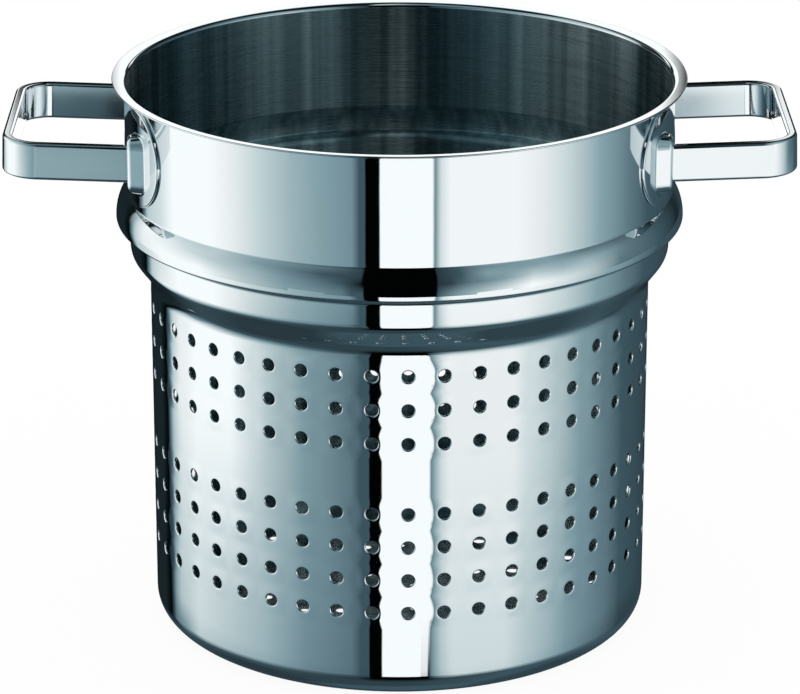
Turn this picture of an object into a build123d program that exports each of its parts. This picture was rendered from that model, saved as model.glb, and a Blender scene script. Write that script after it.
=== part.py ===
from build123d import *
import math
import os

# Strainer insert of a pasta pot: a deep drawn steel basket that hangs in the pot
# by the skirt under its collar, with a strap handle on each side.
# Millimetres. The origin is the centre of the basket's underside, +Z is up,
# and the two handles lie along X.

# Basket, one sheet of steel
sheet = 0.8                 # thickness of the drawn sheet
spigot_r = 118.5            # outside of the band that sits inside the pot's mouth
shoulder_step = 8.5         # from the spigot in to the perforated body
seat_width = 5.95           # from the spigot out to the skirt that covers the pot's rim
collar_step = 1.4           # from the spigot out to the collar that carries the handles
lip_reach = 5.2             # from the collar out to the edge of the pouring lip
body_height = 160.0         # underside to the foot of the shoulder
shoulder_slope = 37.0       # degrees from upright
spigot_height = 14.0        # shoulder to the seat on the pot's rim
skirt_height = 8.3          # seat to the bend at the top of the skirt
skirt_slope = 40.0          # degrees from upright
collar_height = 48.4        # skirt to the lip
lip_rise = 6.0              # degrees above level
base_corner_r = 11.0
shoulder_foot_r = 12.0      # hollow bend from body to shoulder
shoulder_bend_r = 7.4       # round bend from shoulder to spigot
seat_corner_r = 3.2         # hollow bend between spigot and seat
skirt_edge_r = 1.5
skirt_bend_share = 0.98     # of the largest bend that the skirt's wall and slope leave room for
collar_foot_r = 1.2         # hollow bend between skirt and collar
lip_bend_r = 1.5            # hollow bend under the lip
lip_edge_r = 0.35           # rounding of the sheet's cut edge

# Drain holes
hole_r = 2.65
hole_pitch = 15.15          # between rows of one band, and between rings in the base
top_row_drop = 12.0         # shoulder's foot down to the highest row
band_gap = 31.8             # between the upper and the lower band of rows
upper_rows = 3
lower_rows = 4
hole_columns = 45
first_column = 1.6          # degrees from -Y towards +X
ring_step = 6               # holes that each ring in the base adds
base_margin = 6.0           # least distance from a base hole's centre to the corner bend

# Handles
strap_thickness = 4.4
strap_height = 16.2
strap_span = 97.5           # across the outer faces of the two legs
strap_bend_r = 16.0         # outside of the two bends
strap_edge_r = 1.4
strap_tilt = 2.1            # degrees that the handles rise outwards
handle_reach = 50.7         # from the collar's outside to the grip's outer face
handle_rise = 22.8          # from the skirt's top to the strap's mid height at its feet
plate_r = 21.5              # round plate welded to the collar
plate_proud = 1.4           # plate's curved face in front of the collar
plate_rise = 2.0            # plate's centre above the strap's mid height
plate_edge_r = 0.8
pad_width = 12.0            # of the face that the strap ends on
pad_height = 24.0
pad_proud = 4.2             # plate's face to the pad's face, in line with the leg
pad_draft = 12.0            # degrees that the pad's sides spread towards the plate
pad_corner_r = 4.5
pad_edge_r = 1.4
weld_gap = 0.05             # plate's hollow back to the collar
overrun = 5.0               # how far cutting shapes pass a surface

sides = {"left": -1, "right": 1}
ends = {"front": -1, "back": 1}


def run(rise, slope):
    """Height that a slope, in degrees from upright, needs for a change of radius."""
    return rise / math.tan(math.radians(slope))


# Radii of the basket's outside
body_r = spigot_r - shoulder_step
skirt_r = spigot_r + seat_width
collar_r = spigot_r + collar_step
lip_r = collar_r + lip_reach

# Heights of the corners of the basket's outside
shoulder_top_z = body_height + run(spigot_r - body_r, shoulder_slope)
seat_z = shoulder_top_z + spigot_height
skirt_bend_z = seat_z + skirt_height
skirt_top_z = skirt_bend_z + run(skirt_r - collar_r, skirt_slope)
lip_z = skirt_top_z + collar_height
lip_edge_z = lip_z + lip_reach * math.tan(math.radians(lip_rise))

# The skirt's long bend ends short of its lower edge and of the collar's foot
skirt_half_turn = math.tan(math.radians(skirt_slope / 2))
skirt_slope_length = (skirt_r - collar_r) / math.sin(math.radians(skirt_slope))
skirt_bend_room = min(skirt_height - skirt_edge_r, skirt_slope_length - collar_foot_r * skirt_half_turn)
skirt_bend_r = skirt_bend_share * skirt_bend_room / skirt_half_turn

# Outside corners from the axis to the lip: radius, height, bend radius, and the
# way that the bend turns: 1 is round to the outside, -1 is hollow
outside = [
    (0, 0, 0, 1),
    (body_r, 0, base_corner_r, 1),
    (body_r, body_height, shoulder_foot_r, -1),
    (spigot_r, shoulder_top_z, shoulder_bend_r, 1),
    (spigot_r, seat_z, seat_corner_r, -1),
    (skirt_r, seat_z, skirt_edge_r, 1),
    (skirt_r, skirt_bend_z, skirt_bend_r, 1),
    (collar_r, skirt_top_z, collar_foot_r, -1),
    (collar_r, lip_z, lip_bend_r, -1),
    (lip_r, lip_edge_z, 0, 1),
]


def offset_corners(distance):
    """The outside corners moved inwards by a distance, with their bends kept concentric."""
    count = len(outside)
    directions = []
    for (x0, z0, _, _), (x1, z1, _, _) in zip(outside, outside[1:]):
        length = math.hypot(x1 - x0, z1 - z0)
        directions.append(((x1 - x0) / length, (z1 - z0) / length))
    corners = []
    for index, (x, z, bend, turn) in enumerate(outside):
        before = directions[max(index - 1, 0)]
        after = directions[min(index, count - 2)]
        # Left of the direction of travel is the inside of the basket
        nx, nz = -before[1] - after[1], before[0] + after[0]
        half = nx * -after[1] + nz * after[0]
        kept_bend = max(bend - turn * distance, 0)
        corners.append((x + nx * distance / half, z + nz * distance / half, kept_bend))
    return corners


def outline(corners):
    """A closed face through corners of x, z and bend radius, each bend a tangent arc."""
    edges = []
    count = len(corners)
    starts, stops = [], []
    for index, (x, z, bend) in enumerate(corners):
        here = Vector(x, 0, z)
        back = Vector(corners[index - 1][0], 0, corners[index - 1][1]) - here
        ahead = Vector(corners[(index + 1) % count][0], 0, corners[(index + 1) % count][1]) - here
        half = math.radians(back.get_angle(ahead)) / 2
        reach = bend / math.tan(half) if bend else 0
        starts.append(here + back.normalized() * reach)
        stops.append(here + ahead.normalized() * reach)
        if bend:
            centre_way = (back.normalized() + ahead.normalized()).normalized()
            middle = here + centre_way * (bend / math.sin(half) - bend)
            edges.append(Edge.make_three_point_arc(starts[-1], middle, stops[-1]))
    for index in range(count):
        edges.append(Edge.make_line(stops[index - 1], starts[index]))
    return Face(Wire(edges))


def room(clearance):
    """The whole space inside the basket's outside, with a clearance all round."""
    corners = offset_corners(-clearance)
    corners[0] = (0, corners[0][1], 0)
    corners.append((0, corners[-1][1], 0))
    return revolve(outline(corners), Axis.Z)


def wall_holes():
    """Cutters for the two bands of rows round the body, each hole square to the wall."""
    top_z = body_height - top_row_drop
    heights = [top_z - row * hole_pitch for row in range(upper_rows)]
    heights += [heights[-1] - band_gap - row * hole_pitch for row in range(lower_rows)]
    cutter = Rot(0, 90, 0) * Cylinder(hole_r, sheet + 2 * overrun)
    cutters = []
    for column in range(hole_columns):
        angle = first_column - 90 + column * 360 / hole_columns
        for z in heights:
            cutters.append(Rot(0, 0, angle) * Pos(body_r - sheet / 2, 0, z) * cutter)
    return cutters


def base_holes():
    """Cutters for the rings of drain holes in the base, round one in the middle."""
    cutter = Cylinder(hole_r, sheet + 2 * overrun)
    cutters = [Pos(0, 0, sheet / 2) * cutter]
    rings = int((body_r - base_corner_r - base_margin) // hole_pitch)
    for ring in range(1, rings + 1):
        for step in range(ring * ring_step):
            angle = step * 360 / (ring * ring_step)
            cutters.append(Rot(0, 0, angle) * Pos(ring * hole_pitch, 0, sheet / 2) * cutter)
    return cutters


def basket():
    """The drawn shell: outside and inside outlines joined at the lip, turned about Z."""
    outer = offset_corners(0)
    inner = offset_corners(sheet)
    inner[0] = (0, sheet, 0)
    outer[-1] = (outer[-1][0], outer[-1][1], lip_edge_r)
    inner[-1] = (inner[-1][0], inner[-1][1], lip_edge_r)
    shell = revolve(outline(outer + inner[::-1]), Axis.Z)
    return shell - (wall_holes() + base_holes())


# Handle places that follow from the sizes above
strap_mid_z = skirt_top_z + handle_rise
leg_y = (strap_span - strap_thickness) / 2
plate_face_r = collar_r + plate_proud
pad_face_x = math.sqrt(plate_face_r**2 - leg_y**2) + pad_proud
pad_root_x = math.sqrt(plate_face_r**2 - (leg_y + pad_width) ** 2)
plate_angle = math.degrees(math.atan2(leg_y, pad_face_x))


def on_side(shape, side):
    """Keep a shape made on +X, or turn it round to the handle on -X."""
    return shape if side > 0 else Rot(0, 0, 180) * shape


def collar_drum(height):
    """Drum as wide as the plates' curved faces, its seam turned away from +X."""
    return Pos(0, 0, strap_mid_z) * Rot(0, 0, 180) * Cylinder(plate_face_r, height)


def plate(side, end):
    """Round weld plate, bent to the collar all over, with a rounded edge."""
    depth = plate_face_r - collar_r * math.cos(math.asin(plate_r / collar_r)) + overrun
    middle = Pos(plate_face_r - depth / 2, 0, strap_mid_z + plate_rise)
    disc = middle * Rot(0, 90, 0) * Cylinder(plate_r, depth)
    disc &= collar_drum(2 * (plate_r + plate_rise + overrun))
    disc = fillet(disc.faces().sort_by(Axis.X)[-1].edges(), plate_edge_r)
    return on_side(Rot(0, 0, side * end * plate_angle) * disc, side) - room(weld_gap)


def pad(side, end):
    """Soft edged block, square to the leg that ends on it, with sloped sides and a bent back."""
    depth = pad_face_x - pad_root_x
    spread = depth * math.tan(math.radians(pad_draft))
    root = RectangleRounded(pad_width + 2 * spread, pad_height + 2 * spread, pad_corner_r + spread)
    block = extrude(Plane.YZ.offset(pad_root_x) * root, amount=depth, taper=pad_draft)
    block = fillet(block.edges().group_by(Axis.X)[-1], pad_edge_r)
    block = Pos(0, side * end * leg_y, strap_mid_z) * block
    return on_side(block - collar_drum(pad_height + 2 * (spread + overrun)), side)


def strap(side):
    """Flat bar on edge, bent to a square U and tilted up, its legs cut to end on the pads."""
    grip_x = collar_r + handle_reach
    inner_bend_r = strap_bend_r - strap_thickness
    start_x = pad_face_x - 2 * overrun
    half = strap_span / 2
    inner_half = half - strap_thickness
    corners = [
        (start_x, half),
        (grip_x, half),
        (grip_x, -half),
        (start_x, -half),
        (start_x, -inner_half),
        (grip_x - strap_thickness, -inner_half),
        (grip_x - strap_thickness, inner_half),
        (start_x, inner_half),
    ]
    bends = [0, strap_bend_r, strap_bend_r, 0, 0, inner_bend_r, inner_bend_r, 0]
    flat = outline([(x, y, bend) for (x, y), bend in zip(corners, bends)])
    flat = Rot(-90, 0, 0) * flat
    bar = extrude(flat, amount=strap_height / 2, dir=(0, 0, 1), both=True)
    rims = bar.edges().group_by(Axis.Z)[0] + bar.edges().group_by(Axis.Z)[-1]
    bar = Pos(-pad_face_x, 0, 0) * fillet(rims, strap_edge_r)
    bar = Pos(pad_face_x, 0, strap_mid_z) * Rot(0, -strap_tilt, 0) * bar
    cutter = Box(pad_face_x, strap_span + 2 * overrun, strap_height + 2 * overrun)
    bar -= Pos(pad_face_x / 2, 0, strap_mid_z) * cutter
    return on_side(bar, side)


def export(name, shape):
    """Write one piece to its own file."""
    solid = shape.solids()[0]
    print(name, "solids", len(shape.solids()), "volume", round(solid.volume, 1))
    export_step(shape, os.path.join("parts", name + ".step"))


os.makedirs("parts", exist_ok=True)
export("basket", basket())
for side_name, side in sides.items():
    export("handle_strap_" + side_name, strap(side))
    for end_name, end in ends.items():
        place = side_name + "_" + end_name
        export("weld_plate_" + place, plate(side, end))
        export("strap_pad_" + place, pad(side, end))
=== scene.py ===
import math

import bpy
import numpy as np
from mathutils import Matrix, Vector, geometry


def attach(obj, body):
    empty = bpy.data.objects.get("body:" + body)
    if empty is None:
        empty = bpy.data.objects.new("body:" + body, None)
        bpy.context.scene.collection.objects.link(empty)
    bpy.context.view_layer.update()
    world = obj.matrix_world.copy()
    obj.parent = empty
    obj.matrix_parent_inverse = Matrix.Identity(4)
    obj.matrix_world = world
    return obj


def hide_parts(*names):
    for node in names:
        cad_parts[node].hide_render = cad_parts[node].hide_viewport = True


# Looks of a pasta pot's strainer insert: mirror polished outside, satin inside.
# Lengths in this script are millimetres unless a name ends in _M.

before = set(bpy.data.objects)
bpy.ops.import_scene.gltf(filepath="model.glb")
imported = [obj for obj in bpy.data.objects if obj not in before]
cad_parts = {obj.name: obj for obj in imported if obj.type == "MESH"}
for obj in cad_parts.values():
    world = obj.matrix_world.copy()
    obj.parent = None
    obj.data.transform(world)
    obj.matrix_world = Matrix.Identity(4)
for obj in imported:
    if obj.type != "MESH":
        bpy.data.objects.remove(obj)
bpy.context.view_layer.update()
MM = 0.001

# Basket section, the same as the drawn shell's
SHEET = 0.8
SPIGOT_R = 118.5
SHOULDER_STEP = 8.5      # from the spigot in to the perforated body
SEAT_WIDTH = 5.95        # from the spigot out to the skirt
COLLAR_STEP = 1.4        # from the spigot out to the collar
LIP_REACH = 5.2
BODY_HEIGHT = 160.0
SHOULDER_SLOPE = 37.0    # degrees from upright
SPIGOT_HEIGHT = 14.0
SKIRT_HEIGHT = 8.3
SKIRT_SLOPE = 40.0       # degrees from upright
COLLAR_HEIGHT = 48.4
LIP_RISE = 6.0           # degrees above level
BASE_CORNER_R = 11.0
SHOULDER_FOOT_R = 12.0
SHOULDER_BEND_R = 7.4
SEAT_CORNER_R = 3.2
SKIRT_EDGE_R = 1.5
SKIRT_BEND_R = 17.9
COLLAR_FOOT_R = 1.2
LIP_BEND_R = 1.5
LIP_EDGE_R = 0.35
POLISH_START = 0.05      # the inside face turns from satin to polish where it has bent out this far

# Drain holes
HOLE_R = 2.65
HOLE_PITCH = 15.15
TOP_ROW_DROP = 12.0
BAND_GAP = 31.8
UPPER_ROWS = 3
LOWER_ROWS = 4
HOLE_COLUMNS = 45
FIRST_COLUMN = 1.6       # degrees from the front towards +X
BASE_RINGS = 6
RING_STEP = 6            # holes that each ring in the base adds
ROUND_IN = 0.65          # outer edge of a hole rolls in by this radius
BURR_R = 0.1             # small break of the inner edge
MOUND = 0.05             # how far the sheet swells round a hole
MOUND_R = 7.5            # the swelling's reach from the hole's centre
MOUND_SHARES = (0.5, 1.5)  # least and most of that swelling at any one hole
MOUND_RINGS = (5.9, 4.6)  # where the swelling has rings of points, from the hole's centre
ROLL_TURNS = (0, 35, 65, 90)  # degrees of the rolled edge that have a ring of points
BURR_TURN = 150          # degrees that the inner edge's normal has turned from the outside's

# Straps, plates and pads
STRAP_T = 4.4
STRAP_H = 16.2
STRAP_SPAN = 97.5
STRAP_BEND_R = 16.0
STRAP_EDGE_R = 1.4
STRAP_TILT = 2.1         # degrees that the handles rise outwards
HANDLE_REACH = 50.7
HANDLE_RISE = 22.8
PLATE_R = 21.5
PLATE_PROUD = 1.4
PLATE_RISE = 2.0
PLATE_EDGE_R = 0.8
PAD_W = 12.0
PAD_H = 24.0
PAD_PROUD = 4.2
PAD_DRAFT = 12.0         # degrees that a pad's sides spread towards its plate
PAD_CORNER_R = 4.5
PAD_EDGE_R = 1.4
PAD_FOOT_R = 1.2         # hollow weld fillet round a pad's foot
PAD_SOFT_R = 2.6         # hand polish rounds a pad's upper edge a little more where it is tall enough
PAD_ROUND_SHARE = 0.6    # most of a pad's height that its upper edge or its fillet takes up
WELD_GAP = 0.05

# How fine the meshes are
SIDE_SEGMENTS = 4        # steps along one side of the square cell of wall round a hole
CELL_SEGMENTS = 4 * SIDE_SEGMENTS
COLUMNS = HOLE_COLUMNS * SIDE_SEGMENTS
BEND_STEP = 6.0          # degrees of a bend in the sheet between two rings
STRAP_BEND_STEP = 5.0    # degrees of a strap's bend between two outlines
PLATE_SEGMENTS = 96
LIP_EDGE_RINGS = 4       # for each of the cut edge's two quarter rounds
PLATE_FACE_RINGS = 8
PLATE_EDGE_RINGS = 7
PLATE_BACK_RINGS = 12
PAD_EDGE_RINGS = 10
PAD_FOOT_RINGS = 7
PAD_SEARCH_STEPS = 12
PAD_BACK_RINGS = 5
WELD_DIGITS = 4          # points that agree to this many decimals are one
SAME_POINT = 1e-7
SEED = 7

rng = np.random.default_rng(SEED)


def rise(reach, slope):
    """Height over which a slope, in degrees from upright, covers a reach."""
    return reach / math.tan(math.radians(slope))


BODY_R = SPIGOT_R - SHOULDER_STEP
SKIRT_R = SPIGOT_R + SEAT_WIDTH
COLLAR_R = SPIGOT_R + COLLAR_STEP
LIP_R = COLLAR_R + LIP_REACH
SHOULDER_TOP_Z = BODY_HEIGHT + rise(SPIGOT_R - BODY_R, SHOULDER_SLOPE)
SEAT_Z = SHOULDER_TOP_Z + SPIGOT_HEIGHT
SKIRT_BEND_Z = SEAT_Z + SKIRT_HEIGHT
SKIRT_TOP_Z = SKIRT_BEND_Z + rise(SKIRT_R - COLLAR_R, SKIRT_SLOPE)
LIP_Z = SKIRT_TOP_Z + COLLAR_HEIGHT
LIP_EDGE_Z = LIP_Z + LIP_REACH * math.tan(math.radians(LIP_RISE))
STRAP_MID_Z = SKIRT_TOP_Z + HANDLE_RISE
LEG_Y = (STRAP_SPAN - STRAP_T) / 2
PLATE_FACE_R = COLLAR_R + PLATE_PROUD
PAD_FACE_X = math.sqrt(PLATE_FACE_R**2 - LEG_Y**2) + PAD_PROUD
FOOT_ANGLE = math.atan2(LEG_Y, PAD_FACE_X)
CELL_ANGLE = 2 * math.pi / HOLE_COLUMNS
FIRST_ANGLE = math.radians(FIRST_COLUMN - 90) - CELL_ANGLE / 2
HALF_CELL = HOLE_PITCH / 2
TOP_BAND = BODY_HEIGHT - TOP_ROW_DROP - HOLE_PITCH * np.arange(UPPER_ROWS)
LOW_BAND = TOP_BAND[-1] - BAND_GAP - HOLE_PITCH * np.arange(LOWER_ROWS)


class Skin:
    """Gathers patches of surface and welds them into one closed mesh."""

    def __init__(self):
        self.points, self.normals, self.faces, self.kinds = [], [], [], []
        self.count = 0

    def put(self, points, normals):
        """Takes points with their outward normals, and gives their numbers in the same shape."""
        points = np.asarray(points, float)
        normals = np.broadcast_to(np.asarray(normals, float), points.shape)
        flat = points.reshape(-1, 3)
        ids = np.arange(self.count, self.count + len(flat)).reshape(points.shape[:-1])
        self.points.append(flat)
        self.normals.append(normals.reshape(-1, 3))
        self.count += len(flat)
        return ids

    def grid(self, ids, kind=0, wrap=False, flip=False):
        """Quads between the rows of a grid of numbers; wrap joins its last column to its first."""
        if wrap:
            ids = np.concatenate([ids, ids[..., :1]], axis=-1)
        corners = [ids[..., :-1, :-1], ids[..., :-1, 1:], ids[..., 1:, 1:], ids[..., 1:, :-1]]
        if flip:
            corners = corners[::-1]
        quads = np.stack(corners, axis=-1).reshape(-1, 4)
        self.faces += quads.tolist()
        self.kinds += [kind] * len(quads)

    def face(self, loops, kind=0):
        """Flat faces, each a list of numbers."""
        self.faces += loops
        self.kinds += [kind] * len(loops)

    def piece(self, name, *finishes):
        """Makes the mesh object: points at one place become one, and each corner keeps its own normal."""
        points = np.concatenate(self.points)
        normals = np.concatenate(self.normals)
        normals /= np.linalg.norm(normals, axis=1, keepdims=True)
        keys = np.round(points, WELD_DIGITS) + 0.0
        _, first, welded = np.unique(keys, axis=0, return_index=True, return_inverse=True)
        welded = welded.ravel()
        faces, kinds, corners = [], [], []
        for loop, kind in zip(self.faces, self.kinds):
            kept = [k for n, k in enumerate(loop) if welded[k] != welded[loop[n - 1]]]
            if len(kept) > 2:
                faces.append([int(welded[k]) for k in kept])
                kinds.append(kind)
                corners += kept
        mesh = bpy.data.meshes.new(name)
        mesh.from_pydata((points[first] * MM).tolist(), [], faces)
        for finish in finishes:
            mesh.materials.append(finish)
        mesh.polygons.foreach_set("material_index", kinds)
        mesh.polygons.foreach_set("use_smooth", [True] * len(faces))
        mesh.normals_split_custom_set(normals[corners].tolist())
        made = bpy.data.objects.new(name, mesh)
        bpy.context.scene.collection.objects.link(made)
        return made


# Making the basket

def basket_section():
    """Outside of the section from the axis to the lip: straight runs joined by tangent arcs.

    Each row is radius, height and the outward normal's two parts."""
    corners = [
        (0, 0, 0),
        (BODY_R, 0, BASE_CORNER_R),
        (BODY_R, BODY_HEIGHT, SHOULDER_FOOT_R),
        (SPIGOT_R, SHOULDER_TOP_Z, SHOULDER_BEND_R),
        (SPIGOT_R, SEAT_Z, SEAT_CORNER_R),
        (SKIRT_R, SEAT_Z, SKIRT_EDGE_R),
        (SKIRT_R, SKIRT_BEND_Z, SKIRT_BEND_R),
        (COLLAR_R, SKIRT_TOP_Z, COLLAR_FOOT_R),
        (COLLAR_R, LIP_Z, LIP_BEND_R),
        (LIP_R, LIP_EDGE_Z, 0),
    ]
    rows = []
    for before, here, after in zip(corners, corners[1:], corners[2:]):
        here_at = np.array(here[:2])
        way_in = here_at - before[:2]
        way_out = np.array(after[:2]) - here_at
        way_in = way_in / np.linalg.norm(way_in)
        way_out = way_out / np.linalg.norm(way_out)
        turn = math.copysign(1, way_in[0] * way_out[1] - way_in[1] * way_out[0])
        angle = math.acos(way_in @ way_out)
        normal_in = np.array([way_in[1], -way_in[0]])
        start = here_at - way_in * here[2] * math.tan(angle / 2)
        centre = start - turn * normal_in * here[2]
        steps = max(2, round(math.degrees(angle) / BEND_STEP))
        heading = math.atan2(normal_in[1], normal_in[0])
        a = heading + turn * np.linspace(0, angle, steps + 1)
        normals = np.stack([np.cos(a), np.sin(a)], axis=-1)
        rows.append(np.c_[centre + turn * normals * here[2], normals])
    return np.concatenate(rows), way_out


def lip_edge(row, way):
    """Rows round the sheet's cut edge, from its outside to its inside face."""
    edge = np.array([LIP_R, LIP_EDGE_Z])
    out = row[2:]
    rows = []
    for shift, start, end in ((LIP_EDGE_R, out, way), (SHEET - LIP_EDGE_R, way, -out)):
        centre = edge - way * LIP_EDGE_R - out * shift
        turn = np.linspace(0, math.pi / 2, LIP_EDGE_RINGS)[:, None]
        normals = start * np.cos(turn) + end * np.sin(turn)
        rows.append(np.c_[centre + normals * LIP_EDGE_R, normals])
    return np.concatenate(rows)


def cylinder_point(angle, radius, z):
    """Point at an angle round Z."""
    return np.stack([radius * np.cos(angle), radius * np.sin(angle), z + 0 * angle], axis=-1)


def lathe(skin, rows, kind):
    """Turns section rows round Z into a closed band: angle by row."""
    angles = FIRST_ANGLE + np.arange(COLUMNS) * 2 * math.pi / COLUMNS
    r, z, nr, nz = (rows[:, k][:, None] for k in range(4))
    points = cylinder_point(angles[None, :] + 0 * r, r, z)
    normals = cylinder_point(angles[None, :] + 0 * r, nr, nz)
    skin.grid(skin.put(points, normals), kind, wrap=True)


def mound(distance):
    """Height and slope of the swelling round a hole: a smooth hump that is level at both ends."""
    start = HOLE_R + ROUND_IN
    u = np.clip((distance - start) / (MOUND_R - start), 0, 1)
    height = MOUND * (1 - u**2) ** 3
    slope = -6 * MOUND * u * (1 - u**2) ** 2 / (MOUND_R - start)
    return height, slope


def cell_edge():
    """The cell's outline as offsets along the wall, each from -1 to 1: angle and height, anticlockwise
    from the middle of its right side."""
    side = np.linspace(-1, 1, SIDE_SEGMENTS + 1)
    right = [(1, t) for t in side[2:-1]]
    top = [(-t, 1) for t in side[:-1]]
    left = [(-1, -t) for t in side[:-1]]
    bottom = [(t, -1) for t in side[:-1]]
    low_right = [(1, t) for t in side[:2]]
    return np.array(right + top + left + bottom + low_right)


def wall_cells(skin):
    """Each cell of wall with its hole: rings of points that shrink from the cell's edge to the hole,
    roll in through the sheet and spread again to the cell's edge on the inside."""
    edge = cell_edge()
    turn = np.arange(CELL_SEGMENTS) * 2 * math.pi / CELL_SEGMENTS
    along, up = np.cos(turn), np.sin(turn)
    columns = FIRST_ANGLE + CELL_ANGLE * (0.5 + np.arange(HOLE_COLUMNS))
    centres = np.array([(a, z) for a in columns for z in (*TOP_BAND, *LOW_BAND)])
    swell = rng.uniform(*MOUND_SHARES, len(centres))[:, None]
    a0, z0 = centres[:, :1], centres[:, 1:]

    def ring(distance, radius, tilt, lift):
        """One ring on all holes: tilt leans the normal to the hole, lift scales with the swelling."""
        angle = a0 + along * distance / radius
        r = radius + lift * swell + 0 * angle
        points = cylinder_point(angle, r, z0 + up * distance)
        facing = cylinder_point(angle, 1.0, 0)
        aside = cylinder_point(angle + math.pi / 2, along, up)
        tilt = tilt + 0 * swell
        return points, facing * np.cos(tilt)[..., None] - aside * np.sin(tilt)[..., None]

    def outline(radius, way):
        """The edge of all cells at a radius; its normals point out of the wall for 1 and in for -1."""
        angle = a0 + edge[:, 0] * CELL_ANGLE / 2
        return cylinder_point(angle, radius, z0 + edge[:, 1] * HALF_CELL), cylinder_point(angle, way, 0)

    rings = [outline(BODY_R, 1.0)]
    for distance in MOUND_RINGS:
        height, slope = mound(distance)
        rings.append(ring(distance, BODY_R, np.arctan(slope * swell), height))
    for a in np.radians(ROLL_TURNS):
        sunk = ROUND_IN * (1 - math.cos(a))
        rings.append(ring(HOLE_R + ROUND_IN * (1 - math.sin(a)), BODY_R - sunk, a, MOUND))
    inside = BODY_R - SHEET
    rings.append(ring(HOLE_R + BURR_R, inside, math.radians(BURR_TURN), 0))
    rings.append(outline(inside, -1.0))
    ids = np.stack([skin.put(*one) for one in rings], axis=1)
    skin.grid(ids[:, :-1], 0, wrap=True)
    skin.grid(ids[:, -2:], 1, wrap=True)


def base_disc(skin, flat_r):
    """Flat of the base with its rings of drain holes: both faces, and the rolled edge of each hole."""
    centres = [(0.0, 0.0)]
    for k in range(1, BASE_RINGS + 1):
        for step in range(RING_STEP * k):
            a = step * 2 * math.pi / (RING_STEP * k)
            centres.append((k * HOLE_PITCH * math.cos(a), k * HOLE_PITCH * math.sin(a)))
    centres = np.array(centres)
    turn = np.arange(CELL_SEGMENTS) * 2 * math.pi / CELL_SEGMENTS
    rays = np.stack([np.cos(turn), np.sin(turn), 0 * turn], axis=-1)
    middles = np.c_[centres, 0 * centres[:, 0]][:, None]
    rims = []
    rim_section = []
    for a in np.radians(ROLL_TURNS):
        rim_section.append((HOLE_R + ROUND_IN * (1 - math.sin(a)), ROUND_IN * (1 - math.cos(a)), a))
    rim_section.append((HOLE_R + BURR_R, SHEET, math.radians(BURR_TURN)))
    for out, z, a in rim_section:
        normals = [0, 0, -math.cos(a)] - rays[None] * math.sin(a)
        rims.append(skin.put(middles + rays * out + [0, 0, z], normals))
    skin.grid(np.stack(rims, axis=1), 0, wrap=True, flip=True)
    angles = FIRST_ANGLE + np.arange(COLUMNS) * 2 * math.pi / COLUMNS
    for hole, z, way, kind in ((HOLE_R + ROUND_IN, 0, -1, 0), (HOLE_R + BURR_R, SHEET, 1, 1)):
        holes = (middles + rays * hole).reshape(-1, 3)[:, :2]
        flat = np.r_[holes, np.stack([flat_r * np.cos(angles), flat_r * np.sin(angles)], axis=-1)]
        loops = [np.arange(k, k + CELL_SEGMENTS) for k in range(0, len(holes), CELL_SEGMENTS)]
        loops.append(np.arange(len(holes), len(flat)))
        edges = [(int(a), int(b)) for loop in loops for a, b in zip(loop, np.roll(loop, -1))]
        cut = geometry.delaunay_2d_cdt([Vector(p) for p in flat], edges, [], 0, SAME_POINT)
        points = np.array([(p.x, p.y, z) for p in cut[0]])
        ids = skin.put(points, [0, 0, way])
        triangles = np.array([list(face) for face in cut[2]])
        mid = points[triangles].mean(axis=1)[:, :2]
        apart = np.linalg.norm(mid[:, None] - centres[None], axis=2).min(axis=1)
        kept = triangles[apart > hole * math.cos(math.pi / CELL_SEGMENTS)]
        skin.face(ids[kept if way > 0 else kept[:, ::-1]].tolist(), kind)


def make_basket(outside, inside):
    """The drawn shell: turned bands, cells of pierced wall and the pierced base."""
    skin = Skin()
    rows, way = basket_section()
    edges = [end for band in (TOP_BAND, LOW_BAND) for end in (band[0] + HALF_CELL, band[-1] - HALF_CELL)]
    stops = {z: np.array([[BODY_R, z, 1, 0]]) for z in edges}
    low = np.r_[rows[rows[:, 1] < edges[3]], stops[edges[3]]]
    plain = np.r_[stops[edges[2]], stops[edges[1]]]
    high = np.r_[stops[edges[0]], rows[rows[:, 1] > edges[0]]]
    round_edge = lip_edge(high[-1], way)
    lathe(skin, low, 0)
    lathe(skin, plain, 0)
    lathe(skin, np.r_[high, round_edge], 0)

    def inner(part):
        """The inside face: a sheet's thickness in along the normal, in reverse order."""
        moved = np.c_[part[:, :2] - part[:, 2:] * SHEET, -part[:, 2:]]
        return moved[::-1]

    back = inner(high)
    polished = back[:, 0] > COLLAR_R - SHEET + POLISH_START
    lip_rows = int(np.argmin(polished))
    lathe(skin, np.r_[round_edge[-1:], back[: lip_rows + 1]], 0)
    lathe(skin, back[lip_rows:], 1)
    lathe(skin, inner(plain), 1)
    lathe(skin, inner(low), 1)
    wall_cells(skin)
    base_disc(skin, BODY_R - BASE_CORNER_R)
    return skin.piece("basket_looks", outside, inside)


# Making the handles

def foot_frame(points, side, end):
    """Turns points made on +X to the plate of one leg."""
    a = end * FOOT_ANGLE if side > 0 else math.pi - end * FOOT_ANGLE
    turn = np.array([[math.cos(a), math.sin(a), 0], [-math.sin(a), math.cos(a), 0], [0, 0, 1]])
    return np.asarray(points, float) @ turn


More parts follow.
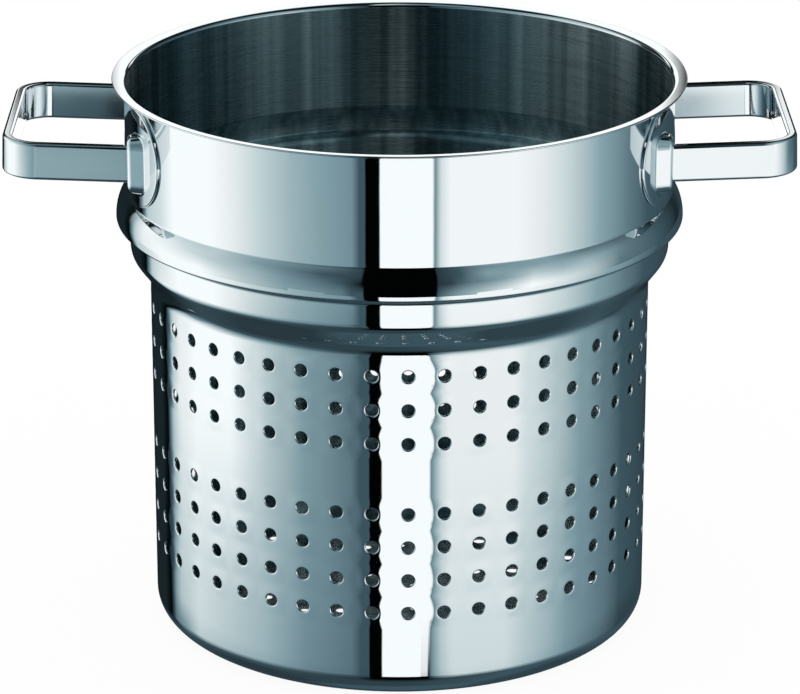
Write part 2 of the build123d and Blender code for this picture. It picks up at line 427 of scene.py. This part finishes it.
def rounded_rectangle(width, height, radius, steps=6):
    """Outline across the X axis, straight sides and quarter circles: points and outward normals,
    anticlockwise seen from +X."""
    middle = math.pi / 4 + np.arange(4)[:, None] * math.pi / 2
    turn = middle + np.linspace(-math.pi / 4, math.pi / 4, steps + 1)
    rays = np.stack([0 * turn, np.cos(turn), np.sin(turn)], axis=-1)
    y = (width / 2 - radius) * np.sign(np.cos(middle))
    z = (height / 2 - radius) * np.sign(np.sin(middle))
    centres = np.stack([0 * y, y, z], axis=-1)
    return (centres + rays * radius).reshape(-1, 3), rays.reshape(-1, 3)


def collar_face(z):
    """Outside radius of the collar at a height, with the hollow bend under the lip."""
    half_turn = math.radians(90 - LIP_RISE) / 2
    bend_z = LIP_Z - LIP_BEND_R * math.tan(half_turn)
    above = np.clip(z - bend_z, 0, LIP_BEND_R)
    return COLLAR_R + LIP_BEND_R - np.sqrt(LIP_BEND_R**2 - above**2)


def make_plate(name, side, end, finish):
    """Weld plate in polar form, bent to the collar all over: face, rounded edge, side and back."""
    skin = Skin()
    turn = np.arange(PLATE_SEGMENTS) * 2 * math.pi / PLATE_SEGMENTS
    rays = np.stack([0 * turn, np.cos(turn), np.sin(turn)], axis=-1)
    middle = np.array([0, 0, STRAP_MID_Z + PLATE_RISE])

    def ring(reach, radius, tilt, way=1):
        """One ring: its reach from the plate's centre, its radius round the basket's axis, and how far
        the normal leans from the plate's face to its edge."""
        points = middle + rays * reach
        radius = radius + 0 * turn
        points[:, 0] = np.sqrt(radius**2 - points[:, 1] ** 2)
        facing = way * points / radius[:, None] * [1, 1, 0]
        normal = facing * math.cos(tilt) + rays * math.sin(tilt)
        return skin.put(foot_frame(points, side, end), foot_frame(normal, side, end))

    def back(reach):
        """Radius of the plate's back, a weld gap off the collar, at a reach from the plate's centre."""
        return collar_face(middle[2] + rays[:, 2] * reach) + WELD_GAP

    flat_r = PLATE_R - PLATE_EDGE_R
    rows = [ring(r, PLATE_FACE_R, 0) for r in np.linspace(0, flat_r, PLATE_FACE_RINGS)]
    for a in np.linspace(0, math.pi / 2, PLATE_EDGE_RINGS)[1:]:
        sunk = PLATE_EDGE_R * (1 - math.cos(a))
        rows.append(ring(flat_r + PLATE_EDGE_R * math.sin(a), PLATE_FACE_R - sunk, a))
    rows.append(ring(PLATE_R, back(PLATE_R), math.pi / 2))
    skin.grid(np.array(rows), wrap=True, flip=True)
    rows = [ring(r, back(r), 0, way=-1) for r in np.linspace(PLATE_R, 0, PLATE_BACK_RINGS)]
    skin.grid(np.array(rows), wrap=True, flip=True)
    return skin.piece(name, finish)


def make_pad(name, side, end, finish):
    """Pad in line with a strap's leg: a rounded rectangle that shrinks by the draft angle from the round
    drum of the plate's face to a flat top, with a rounded upper edge and a hollow fillet at its foot."""
    skin = Skin()
    flip = np.array([side, side, 1.0])
    middle = np.array([PAD_FACE_X, side * end * LEG_Y, STRAP_MID_Z])
    nominal, rays = rounded_rectangle(PAD_W, PAD_H, PAD_CORNER_R)
    slope = math.radians(PAD_DRAFT)
    upright = math.pi / 2 - slope

    def ring(grow, depth, lean):
        """One outline, grown outwards at a depth under the top; its normals lean from top to side."""
        grow, depth, lean = (np.broadcast_to(v, len(rays))[:, None] for v in (grow, depth, lean))
        points = nominal + middle + rays * grow - np.array([1, 0, 0]) * depth
        normals = rays * np.sin(lean) + np.array([1, 0, 0]) * np.cos(lean)
        return skin.put(points * flip, normals * flip)

    def drum(grow):
        """Depth of the plate's face under the grown outline, and how far it leans along each ray."""
        y = (nominal + middle + rays * grow[:, None])[:, 1]
        lean = np.arctan2(y / PLATE_FACE_R * rays[:, 1], np.sqrt(1 - (y / PLATE_FACE_R) ** 2))
        return PAD_FACE_X - np.sqrt(PLATE_FACE_R**2 - y**2), lean

    depth, foot_lean = drum(0 * rays[:, 0])
    edge_r = np.clip(PAD_ROUND_SHARE * depth, PAD_EDGE_R, PAD_SOFT_R)
    core = -edge_r * (1 - math.sin(slope)) / math.cos(slope)
    rows = []
    for a in np.linspace(0, upright, PAD_EDGE_RINGS):
        rows.append(ring(core + edge_r * math.sin(a), edge_r * (1 - math.cos(a)), a))
    start_grow = core + edge_r * math.sin(upright)
    start_depth = edge_r * (1 - math.cos(upright))
    fillet = np.minimum(PAD_FOOT_R, PAD_ROUND_SHARE * (depth - start_depth))
    # The straight side ends where the fillet below it just meets the plate: found in steps
    for _ in range(PAD_SEARCH_STEPS):
        grow = start_grow + (depth - start_depth) * math.tan(slope)
        face, foot_lean = drum(grow + fillet * (math.sin(upright) - np.sin(foot_lean)))
        depth = face - fillet * (np.cos(foot_lean) - math.cos(upright))
    for t in np.linspace(0, 1, PAD_FOOT_RINGS):
        lean = upright + (foot_lean - upright) * t
        foot = grow + fillet * (math.sin(upright) - np.sin(lean))
        rows.append(ring(foot, depth + fillet * (np.cos(lean) - math.cos(upright)), lean))
    skin.grid(np.array(rows), wrap=True, flip=True)
    skin.face([ring(core, 0, 0).tolist()])
    # The back narrows to a line in steps, so that it lies on the bent plate
    outline = nominal + rays * foot[:, None]
    back = []
    for squeeze in np.linspace(1, 0, PAD_BACK_RINGS):
        points = outline * [0, squeeze, 1] + middle * [0, 1, 1]
        points[:, 0] = np.sqrt(PLATE_FACE_R**2 - points[:, 1] ** 2)
        back.append(skin.put(points * flip, points * [-1, -1, 0] * flip))
    skin.grid(np.array(back), wrap=True, flip=True)
    return skin.piece(name, finish)


def make_strap(name, side, finish):
    """Strap handle: a soft-edged bar section carried along a square U that is tilted up at its feet,
    both ends cut upright on the pads."""
    skin = Skin()
    section, rays = rounded_rectangle(STRAP_T, STRAP_H, STRAP_EDGE_R, steps=5)
    grip_x = COLLAR_R + HANDLE_REACH
    bend_r = STRAP_BEND_R - STRAP_T / 2
    centre_x = grip_x - STRAP_BEND_R
    centre_y = STRAP_SPAN / 2 - STRAP_BEND_R
    stations = []
    for a in np.radians(np.arange(0, 91, STRAP_BEND_STEP)):
        stations.append((centre_x + bend_r * math.sin(a), centre_y + bend_r * math.cos(a), math.pi / 2 - a))
    stations += [(x, -y, -a) for x, y, a in stations[::-1]]
    rows = []
    tilt = math.radians(STRAP_TILT)
    cos_tilt, sin_tilt = math.cos(tilt), math.sin(tilt)
    rising = np.array([[cos_tilt, 0, sin_tilt], [0, 1, 0], [-sin_tilt, 0, cos_tilt]])
    foot = np.array([PAD_FACE_X, 0, STRAP_MID_Z])
    for x, y, a in stations:
        out = np.array([math.cos(a), math.sin(a), 0])
        points = np.array([x - PAD_FACE_X, y, 0]) + section[:, 1:2] * out + section * [0, 0, 1]
        rows.append((points @ rising + foot, (rays[:, 1:2] * out + rays * [0, 0, 1]) @ rising))
    ends = []
    for points, normals in (rows[0], rows[-1]):
        start = points.copy()
        start[:, 0] = PAD_FACE_X
        start[:, 2] -= (points[:, 0] - start[:, 0]) * math.tan(tilt)
        ends.append((start, normals))
    rows = [ends[0]] + rows + [ends[1]]
    flip = np.array([side, side, 1.0])
    ids = np.array([skin.put(p * flip, n * flip) for p, n in rows])
    skin.grid(ids, wrap=True)
    for (points, _), way in ((ends[0], 1), (ends[1], -1)):
        cap = skin.put(points * flip, np.array([-1, 0, 0]) * flip)
        skin.face([cap[::-way].tolist()])
    return skin.piece(name, finish)


# Finishes

def linear(code, level=1.0):
    """Colour from its sRGB hex code, turned linear, times a level."""
    parts = [int(code[k : k + 2], 16) / 255 for k in (1, 3, 5)]
    return [level * (c / 12.92 if c <= 0.04045 else ((c + 0.055) / 1.055) ** 2.4) for c in parts]


def node(tree, kind, settings=(), **inputs):
    """Adds a node: settings are its properties, inputs are values or other nodes' sockets. An input
    is called by its name, or by n and its number where names repeat."""
    made = tree.nodes.new(kind)
    for key, value in dict(settings).items():
        setattr(made, key, value)
    for key, value in inputs.items():
        numbered = key[0] == "n" and key[1:].isdigit()
        socket = made.inputs[int(key[1:]) if numbered else key.replace("_", " ")]
        if isinstance(value, bpy.types.NodeSocket):
            tree.links.new(value, socket)
        else:
            socket.default_value = value
    return made


def material(name):
    """Empty material with its output node."""
    made = bpy.data.materials.new(name)
    made.use_nodes = True
    made.node_tree.nodes.clear()
    return made, made.node_tree, node(made.node_tree, "ShaderNodeOutputMaterial")


STEEL = linear("#e9edef")
WIPE_MM = 35.0           # size of the faint wipe marks on the polish
WIPE_DULL = 1.8          # how much rougher the polish is in them
LINE_LENGTH_MM = 50.0    # a brushed line's run round the axis
LINE_FINENESS = 60.0     # times finer across: about 0.8 mm, coarser than real so that it shows
LINE_DEPTH_MM = 0.02
LINE_STRENGTHS = (0.05, 0.5)  # in the pierced wall, and in the collar above it
SATIN_ROUGHNESS = (0.23, 0.33)
PAINTED_STREAK_MM = 11.0         # size of the soft upright streaks, which are painted reflections
# Painted shade and painted reflection: the inside's base colour is darker than the steel's own, and lighter
# where upright streaks stand in for reflections
PAINTED_INSIDE_SHADE = linear("#82969b")
PAINTED_REFLECTION_STREAK = linear("#c6d6d9")


def polished_steel(name, roughness, wave_mm, wave_depth_mm):
    """Mirror polish: a sharp image of the studio, broken a little by the sheet's faint waves and by
    wipe marks."""
    made, tree, out = material(name)
    place = node(tree, "ShaderNodeTexCoord").outputs["Object"]
    wipes = node(
        tree, "ShaderNodeTexNoise", Vector=place, Scale=1 / (WIPE_MM * MM), Detail=3.0, Roughness=0.6
    )
    gloss = node(
        tree, "ShaderNodeMapRange", Value=wipes.outputs["Fac"],
        From_Min=0.35, From_Max=0.75, To_Min=roughness, To_Max=roughness * WIPE_DULL,
    )
    waves = node(
        tree, "ShaderNodeTexNoise", Vector=place, Scale=1 / (wave_mm * MM), Detail=1.0, Roughness=0.4
    )
    relief = node(
        tree, "ShaderNodeBump", Strength=1.0, Distance=wave_depth_mm * MM, Height=waves.outputs["Fac"]
    )
    metal = node(
        tree, "ShaderNodeBsdfPrincipled", Base_Color=(*STEEL, 1), Metallic=1.0,
        Roughness=gloss.outputs["Result"], Normal=relief.outputs["Normal"],
    )
    tree.links.new(metal.outputs["BSDF"], out.inputs["Surface"])
    return made


def satin_steel(name):
    """Satin brushed round the axis: fine lines along the wall that smear every reflection upright. The
    lines are noise that is stretched along the wall, since radius and height together count across it."""
    made, tree, out = material(name)
    place = node(tree, "ShaderNodeTexCoord").outputs["Object"]
    parts = node(tree, "ShaderNodeSeparateXYZ", Vector=place)
    flat = node(tree, "ShaderNodeCombineXYZ", X=parts.outputs["X"], Y=parts.outputs["Y"])
    radius = node(tree, "ShaderNodeVectorMath", {"operation": "LENGTH"}, n0=flat.outputs["Vector"])
    across = node(
        tree, "ShaderNodeMath", {"operation": "ADD"}, n0=radius.outputs["Value"], n1=parts.outputs["Z"]
    )
    line = node(
        tree, "ShaderNodeMath", {"operation": "MULTIPLY"}, n0=across.outputs["Value"], n1=LINE_FINENESS
    )
    streak = node(
        tree, "ShaderNodeCombineXYZ", X=parts.outputs["X"], Y=parts.outputs["Y"], Z=line.outputs["Value"]
    )
    lines = node(
        tree, "ShaderNodeTexNoise", Vector=streak.outputs["Vector"],
        Scale=1 / (LINE_LENGTH_MM * MM), Detail=4.0, Roughness=0.65,
    )
    gloss = node(
        tree, "ShaderNodeMapRange", Value=lines.outputs["Fac"],
        From_Min=0.3, From_Max=0.7, To_Min=SATIN_ROUGHNESS[0], To_Max=SATIN_ROUGHNESS[1],
    )
    # The brushed lines show in the collar; the pierced wall below it is plainer
    brushed = node(
        tree, "ShaderNodeMapRange", Value=parts.outputs["Z"],
        From_Min=SHOULDER_TOP_Z * MM, From_Max=SEAT_Z * MM,
        To_Min=LINE_STRENGTHS[0], To_Max=LINE_STRENGTHS[1],
    )
    relief = node(
        tree, "ShaderNodeBump", Strength=brushed.outputs["Result"], Distance=LINE_DEPTH_MM * MM,
        Height=lines.outputs["Fac"],
    )
    # Painted shade and painted reflection: a base colour darker than the steel's own stands in for the
    # inside's shade, with soft lighter upright streaks painted in place of reflections
    painted_streak_noise = node(
        tree, "ShaderNodeTexNoise", Vector=flat.outputs["Vector"],
        Scale=1 / (PAINTED_STREAK_MM * MM), Detail=2.0, Roughness=0.7,
    )
    streaks = node(
        tree, "ShaderNodeMapRange", Value=painted_streak_noise.outputs["Fac"],
        From_Min=0.4, From_Max=0.64, To_Min=0.0, To_Max=1.0,
    )
    tone = node(
        tree, "ShaderNodeMix", {"data_type": "RGBA"}, n0=streaks.outputs["Result"],
        n6=(*PAINTED_INSIDE_SHADE, 1), n7=(*PAINTED_REFLECTION_STREAK, 1),
    )
    way = node(tree, "ShaderNodeTangent", {"direction_type": "RADIAL", "axis": "Z"})
    metal = node(
        tree, "ShaderNodeBsdfPrincipled", Base_Color=tone.outputs[2], Metallic=1.0,
        Roughness=gloss.outputs["Result"], Anisotropic=1.0, Anisotropic_Rotation=0.25,
        Normal=relief.outputs["Normal"], Tangent=way.outputs["Tangent"],
    )
    tree.links.new(metal.outputs["BSDF"], out.inputs["Surface"])
    return made


# Outside of the basket: near perfect mirror, slightly wavy from the deep drawing
outside_steel = polished_steel(
    "mirror_polished_drawn_steel", roughness=0.02, wave_mm=9.0, wave_depth_mm=0.006
)
# Plates and pads: mirror polish on thick, flat metal
plate_steel = polished_steel(
    "mirror_polished_plate_steel", roughness=0.03, wave_mm=14.0, wave_depth_mm=0.003
)
# Straps: polish a little softer than the plates'
strap_steel = polished_steel("polished_strap_steel", roughness=0.07, wave_mm=18.0, wave_depth_mm=0.004)
# Inside of the basket: satin whose base colour is painted shade, so it stays dark but for soft upright
# streaks that are painted reflections
inside_steel = satin_steel("satin_steel_painted_shade")

# What stands at each foot of a strap: its maker, its name's start and the start of the CAD node's
FOOT_PIECES = ((make_plate, "plate_looks_", "weld_plate_"), (make_pad, "pad_looks_", "strap_pad_"))

basket = make_basket(outside_steel, inside_steel)
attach(basket, "root")
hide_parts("basket")
for side_name, side in (("left", -1), ("right", 1)):
    strap = make_strap("strap_looks_" + side_name, side, strap_steel)
    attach(strap, "root")
    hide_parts("handle_strap_" + side_name)
    for end_name, end in (("front", -1), ("back", 1)):
        spot = side_name + "_" + end_name
        for maker, looks, cad in FOOT_PIECES:
            piece = maker(looks + spot, side, end, plate_steel)
            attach(piece, "root")
            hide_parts(cad + spot)


# Studio

BLACK = linear("#020303")
SOOT = linear("#10191b")
DEEP = linear("#1c272c")
DARK = linear("#2d3b42")
DUSK = linear("#33454d")
SLATE = linear("#425a64")
TEAL = linear("#66808a")
HAZE = linear("#7c99a4")
GREY = linear("#8ba7ae")
ASH = linear("#93b0b8")
MIST = linear("#a9c0c6")
VEIL = linear("#d0e0e1")
PALE = linear("#c8d8da")
CLOUD = linear("#e3edee")
FROST = linear("#fafcfc", 1.03)
SNOW = linear("#fafcfc", 1.12)
WHITE = linear("#fafcfc", 1.18)

# The window that the front mirrors and the black strip on its left, in degrees of azimuth
STRIP_START = -13.1
WINDOW_START = -7.5
WINDOW_END = 12.4
SILL_WINDOW_END = 11.6
FOOT_WINDOW_END = 8.6
STRIP_BLUR = 0.25
WINDOW_BLUR = 0.4

# Cards and soft boxes round the object: azimuth from the camera's side, positive to
# its right, and the tone that stands there
BACK_LEFT = [
    (-180, WHITE), (-170.3, WHITE), (-169.6, SOOT), (-150, DEEP), (-138, DEEP), (-134, SOOT),
    (-129.6, BLACK),
]
BACK_RIGHT = [(152.7, DUSK), (163, DEEP), (169.6, DEEP), (170.3, WHITE)]
LEFT = [
    (-126.8, TEAL), (-125.2, ASH), (-123.2, PALE), (-119.5, CLOUD), (-115, FROST), (-102, WHITE),
    (-80, WHITE), (-60, PALE), (-42, GREY), (-21, TEAL), (-17.5, SLATE), (-13.4, SLATE),
]
LEFT_LOW = [
    (-126.8, SLATE), (-123.5, GREY), (-118, PALE), (-102, CLOUD), (-80, PALE), (-60, MIST), (-42, HAZE),
    (-21, TEAL), (-17, SLATE), (-13.4, SLATE),
]
LEFT_FOOT = [
    (-126.8, DUSK), (-123.5, TEAL), (-112, GREY), (-102, PALE), (-80, MIST), (-60, GREY), (-42, TEAL),
    (-21, SLATE), (-13.4, DUSK),
]
LEFT_COLLAR = [
    (-126.8, TEAL), (-123.5, PALE), (-112, CLOUD), (-102, WHITE), (-80, WHITE), (-69, FROST), (-55, VEIL),
    (-42, MIST), (-33, ASH), (-18.4, HAZE), (-15.5, SLATE), (-13.4, SLATE),
]
RIGHT = [
    (12.8, TEAL), (14, GREY), (17.5, CLOUD), (21, FROST), (50, FROST), (57, CLOUD), (69.5, PALE),
    (86, GREY), (104, TEAL), (119, SLATE),
]
RIGHT_LOW = [
    (12.8, TEAL), (14, GREY), (17.5, PALE), (22, CLOUD), (46, CLOUD), (56, PALE), (69.5, MIST),
    (78, GREY), (86, HAZE), (104, TEAL), (119, SLATE),
]
RIGHT_FOOT = [
    (13, DUSK), (17, HAZE), (24, PALE), (46, PALE), (56, MIST), (69.5, GREY), (78, HAZE), (90, TEAL),
    (119, DUSK),
]
RIGHT_COLLAR = [
    (12.7, TEAL), (13.6, GREY), (15.3, CLOUD), (19, SNOW), (45, SNOW), (54, FROST), (65, CLOUD),
    (85, ASH), (104, TEAL), (119, SLATE),
]


def low_cards(left, right, window_end):
    """Cards with the window, a black strip on its left and, where it ends early, black on its right."""
    window = [
        (STRIP_START, BLACK), (WINDOW_START - STRIP_BLUR, BLACK),
        (WINDOW_START, WHITE), (window_end, WHITE),
    ]
    if window_end < WINDOW_END:
        window += [(window_end + WINDOW_BLUR, BLACK), (WINDOW_END, BLACK)]
    return BACK_LEFT + left + window + right + BACK_RIGHT


BODY_CARDS = low_cards(LEFT, RIGHT, WINDOW_END)
COLLAR_CARDS = low_cards(LEFT_COLLAR, RIGHT_COLLAR, WINDOW_END)
LOW_CARDS = low_cards(LEFT_LOW, RIGHT_LOW, WINDOW_END)
# The window's lower right corner is round: it narrows towards its foot
SILL_CARDS = low_cards(LEFT_LOW, RIGHT_LOW, SILL_WINDOW_END)
FOOT_CARDS = low_cards(LEFT_FOOT, RIGHT_FOOT, FOOT_WINDOW_END)
EDGE_CARDS = BACK_LEFT + LEFT_FOOT + [(STRIP_START, BLACK), (WINDOW_END, BLACK)] + RIGHT_FOOT + BACK_RIGHT
NEAR_CARDS = BACK_LEFT + LEFT + [
    (STRIP_START, BLACK), (12.9, BLACK), (13.4, SLATE), (22, GREY), (34, PALE), (49, WHITE), (74, PALE),
    (90, TEAL), (118, SLATE), (140, DEEP),
] + BACK_RIGHT
MID_CARDS = [
    (-180, WHITE), (-170.3, WHITE), (-169.6, BLACK), (-163.4, BLACK), (-163, WHITE), (-157, WHITE),
    (-156, DEEP), (-136, SOOT), (-131.2, SOOT), (-129.6, PALE), (-117, WHITE), (-90, CLOUD), (-73, PALE),
    (-56, MIST), (-42, HAZE), (-21, SLATE), (-14.8, DEEP), (-13.4, BLACK), (13.0, BLACK), (13.5, DARK),
    (18, DUSK), (26, TEAL), (38, GREY), (50, PALE), (62, MIST), (74, MIST), (84, GREY), (96, TEAL),
    (118, SLATE), (145, DEEP), (156, DEEP), (157, WHITE), (163, WHITE), (163.4, BLACK), (169.6, BLACK),
    (170.3, WHITE),
]
HIGH_CARDS = [
    (-180, WHITE), (-170.3, WHITE), (-169.6, BLACK), (-150, DEEP), (-118, PALE), (-78, PALE), (-58, GREY),
    (-29, SLATE), (-14, DUSK), (-13.4, BLACK), (13.0, BLACK), (13.5, DARK), (22, SLATE), (32, GREY),
    (60, GREY), (78, TEAL), (118, DEEP), (169.6, BLACK), (170.3, WHITE),
]
TOP_CARDS = [
    (-180, BLACK), (-150, DEEP), (-118, GREY), (-58, GREY), (-29, TEAL), (-13.8, DUSK), (-13.4, BLACK),
    (13.0, BLACK), (13.5, DARK), (22, SLATE), (30, TEAL), (60, GREY), (80, TEAL), (120, DEEP),
    (180, BLACK),
]
ZENITH_CARDS = [(-180, SOOT), (-70, SOOT), (-45, TEAL), (-10, TEAL), (11, PALE), (14, SOOT), (180, SOOT)]
CORNER_CARDS = [
    (-180, DUSK), (-60, SLATE), (-20, DARK), (-14, BLACK), (13, BLACK), (20, DUSK), (60, SLATE),
    (120, SLATE), (180, DUSK),
]
WING_CARDS = [(-180, DUSK), (-95, DARK), (-60, DUSK), (0, DUSK), (60, SLATE), (95, DUSK), (180, DUSK)]
SOLE_CARDS = [(-180, SLATE), (180, SLATE)]
# Elevation of each row of cards, in degrees
TIERS = [
    (-90, SOLE_CARDS), (-78, SOLE_CARDS), (-70, WING_CARDS), (-52, WING_CARDS), (-40, CORNER_CARDS),
    (-29.4, EDGE_CARDS), (-29.0, FOOT_CARDS), (-27.8, SILL_CARDS), (-26.2, LOW_CARDS), (-19, BODY_CARDS),
    (-15, BODY_CARDS), (-12, COLLAR_CARDS), (-6.2, COLLAR_CARDS), (-5.7, NEAR_CARDS), (1, NEAR_CARDS),
    (22, MID_CARDS), (39, HIGH_CARDS), (58, TOP_CARDS), (62, ZENITH_CARDS), (90, ZENITH_CARDS),
]
DOME_R = 850
DOME_Z = 120
# Steps of the cards' sphere, in degrees
AZIMUTH_STEP = 0.5
ELEVATION_STEP = 2.0
FINE_STEP = 0.2
FINE_ZONES = ((-30, -27.9), (-14, -4.9))  # elevations where the cards change fast
STEEPEST = 80            # elevation from which cards widen no further
# Small cards in front of the handles, which the straps' broad sides look at: place and
# tone of the inner and the outer end, then where they stand and their bottom and top
HANDLE_CARDS = [((-128, GREY), (-215, MIST)), ((128, SNOW), (215, SNOW))]
HANDLE_CARD_Y = -287
HANDLE_CARD_Z = (132, 163)


def card_tones(cards, azimuths):
    """Tone at each azimuth, blended between neighbouring cards round the whole circle."""
    at = [a for a, _ in cards]
    parts = [np.interp(azimuths, at, [tone[k] for _, tone in cards], period=360) for k in range(3)]
    return np.stack(parts, axis=-1)


def make_dome():
    """Cards and soft boxes as one sphere, azimuth by elevation, whose tones are blended between the
    rows of cards, and the two handle cards as flat quads. Only reflections see it."""
    azimuths = np.arange(-180, 180, AZIMUTH_STEP)
    zones = [np.arange(-90, 90.1, ELEVATION_STEP)] + [np.arange(*zone, FINE_STEP) for zone in FINE_ZONES]
    elevations = np.unique(np.round(np.concatenate(zones), 3))
    tiers = [e for e, _ in TIERS]
    colours = np.empty((len(elevations), len(azimuths), 3))
    for row, elevation in enumerate(elevations):
        k = min(max(int(np.searchsorted(tiers, elevation, "right")), 1), len(tiers) - 1)
        mix = (elevation - tiers[k - 1]) / (tiers[k] - tiers[k - 1])
        # High cards widen with their height, so that their edges look upright in the skirt
        narrow = 1 - math.sqrt(math.cos(math.radians(min(max(elevation, 0), STEEPEST))))
        seen = azimuths * (1 - narrow * np.cos(np.radians(azimuths / 2)) ** 2)
        below, above = (card_tones(TIERS[n][1], seen) for n in (k - 1, k))
        colours[row] = below * (1 - mix) + above * mix
    a, e = np.radians(azimuths)[None, :], np.radians(elevations)[:, None]
    points = DOME_R * MM * np.stack(
        [np.sin(a) * np.cos(e), -np.cos(a) * np.cos(e), np.sin(e) + 0 * a + DOME_Z / DOME_R], axis=-1
    )
    ids = np.arange(points[..., 0].size).reshape(points.shape[:2])
    ids = np.concatenate([ids, ids[:, :1]], axis=1)
    quads = np.stack([ids[:-1, :-1], ids[1:, :-1], ids[1:, 1:], ids[:-1, 1:]], axis=-1).reshape(-1, 4)
    points, colours = points.reshape(-1, 3), colours.reshape(-1, 3)
    for near, far in HANDLE_CARDS:
        low, high = HANDLE_CARD_Z
        corners = [(near, low), (far, low), (far, high), (near, high)]
        quads = np.r_[quads, len(points) + np.arange(4)[None]]
        points = np.r_[points, [(end[0] * MM, HANDLE_CARD_Y * MM, z * MM) for end, z in corners]]
        colours = np.r_[colours, [end[1] for end, _ in corners]]
    mesh = bpy.data.meshes.new("studio_cards")
    mesh.from_pydata(points.tolist(), [], quads.tolist())
    tint = mesh.color_attributes.new("tone", "FLOAT_COLOR", "POINT")
    tint.data.foreach_set("color", np.c_[colours, np.ones(len(colours))].ravel())
    # Studio cards: their own tone, seen only in the metal
    made, tree, out = material("studio_cards")
    tone = node(tree, "ShaderNodeAttribute", {"attribute_name": "tone"})
    glow = node(tree, "ShaderNodeEmission", Color=tone.outputs["Color"], Strength=1.0)
    tree.links.new(glow.outputs["Emission"], out.inputs["Surface"])
    made.cycles.emission_sampling = "NONE"
    mesh.materials.append(made)
    dome = bpy.data.objects.new("studio_cards", mesh)
    bpy.context.scene.collection.objects.link(dome)
    dome.visible_camera = False
    dome.visible_diffuse = False
    dome.visible_shadow = False
    return dome


FLOOR_HALF_M = 60.0
FLOOR_GLOW = 0.93        # share of plain white in what the camera sees of the floor


def make_floor():
    """Plain white square that keeps the object's shadow. The metal sees the cards below it instead."""
    mesh = bpy.data.meshes.new("floor")
    corners = [(x * FLOOR_HALF_M, y * FLOOR_HALF_M, 0) for x, y in ((-1, -1), (1, -1), (1, 1), (-1, 1))]
    mesh.from_pydata(corners, [], [(0, 1, 2, 3)])
    # White floor paint: as bright as the backdrop, a little darker in the object's shade
    made, tree, out = material("white_floor")
    white = (*linear("#ffffff"), 1)
    paint = node(tree, "ShaderNodeBsdfDiffuse", Color=white)
    glow = node(tree, "ShaderNodeEmission", Color=white, Strength=1.0)
    path = node(tree, "ShaderNodeLightPath")
    seen = node(
        tree, "ShaderNodeMath", {"operation": "MULTIPLY"}, n0=path.outputs["Is Camera Ray"], n1=FLOOR_GLOW
    )
    blend = node(
        tree, "ShaderNodeMixShader", n0=seen.outputs["Value"],
        n1=paint.outputs["BSDF"], n2=glow.outputs["Emission"],
    )
    tree.links.new(blend.outputs["Shader"], out.inputs["Surface"])
    mesh.materials.append(made)
    floor = bpy.data.objects.new("floor", mesh)
    bpy.context.scene.collection.objects.link(floor)
    floor.visible_glossy = False
    return floor


make_dome()
make_floor()

scene = bpy.context.scene
scene.world = bpy.data.worlds.new("studio")
scene.world.use_nodes = True
backdrop = scene.world.node_tree.nodes["Background"]
backdrop.inputs["Color"].default_value = (1, 1, 1, 1)
backdrop.inputs["Strength"].default_value = 1.0

# Camera, fitted to the photo's ellipses and edges
CAMERA_BACK_M = 1.65
CAMERA_SIDE_M = 0.0002
CAMERA_UP_M = 0.7168
CAMERA_DOWN = 19.83      # degrees
CAMERA_YAW = 0.30        # degrees
LENS_MM = 177.0
SENSOR_MM = 36.0
CLIP_M = (0.05, 200.0)
camera = bpy.data.objects.new("camera", bpy.data.cameras.new("camera"))
scene.collection.objects.link(camera)
camera.data.lens = LENS_MM
camera.data.sensor_width = SENSOR_MM
camera.data.clip_start, camera.data.clip_end = CLIP_M
yaw = math.radians(CAMERA_YAW)
camera.location = (
    CAMERA_SIDE_M - CAMERA_BACK_M * math.sin(yaw), -CAMERA_BACK_M * math.cos(yaw), CAMERA_UP_M
)
camera.rotation_euler = (math.radians(90 - CAMERA_DOWN), 0, -yaw)
scene.camera = camera
scene.view_settings.view_transform = "Standard"
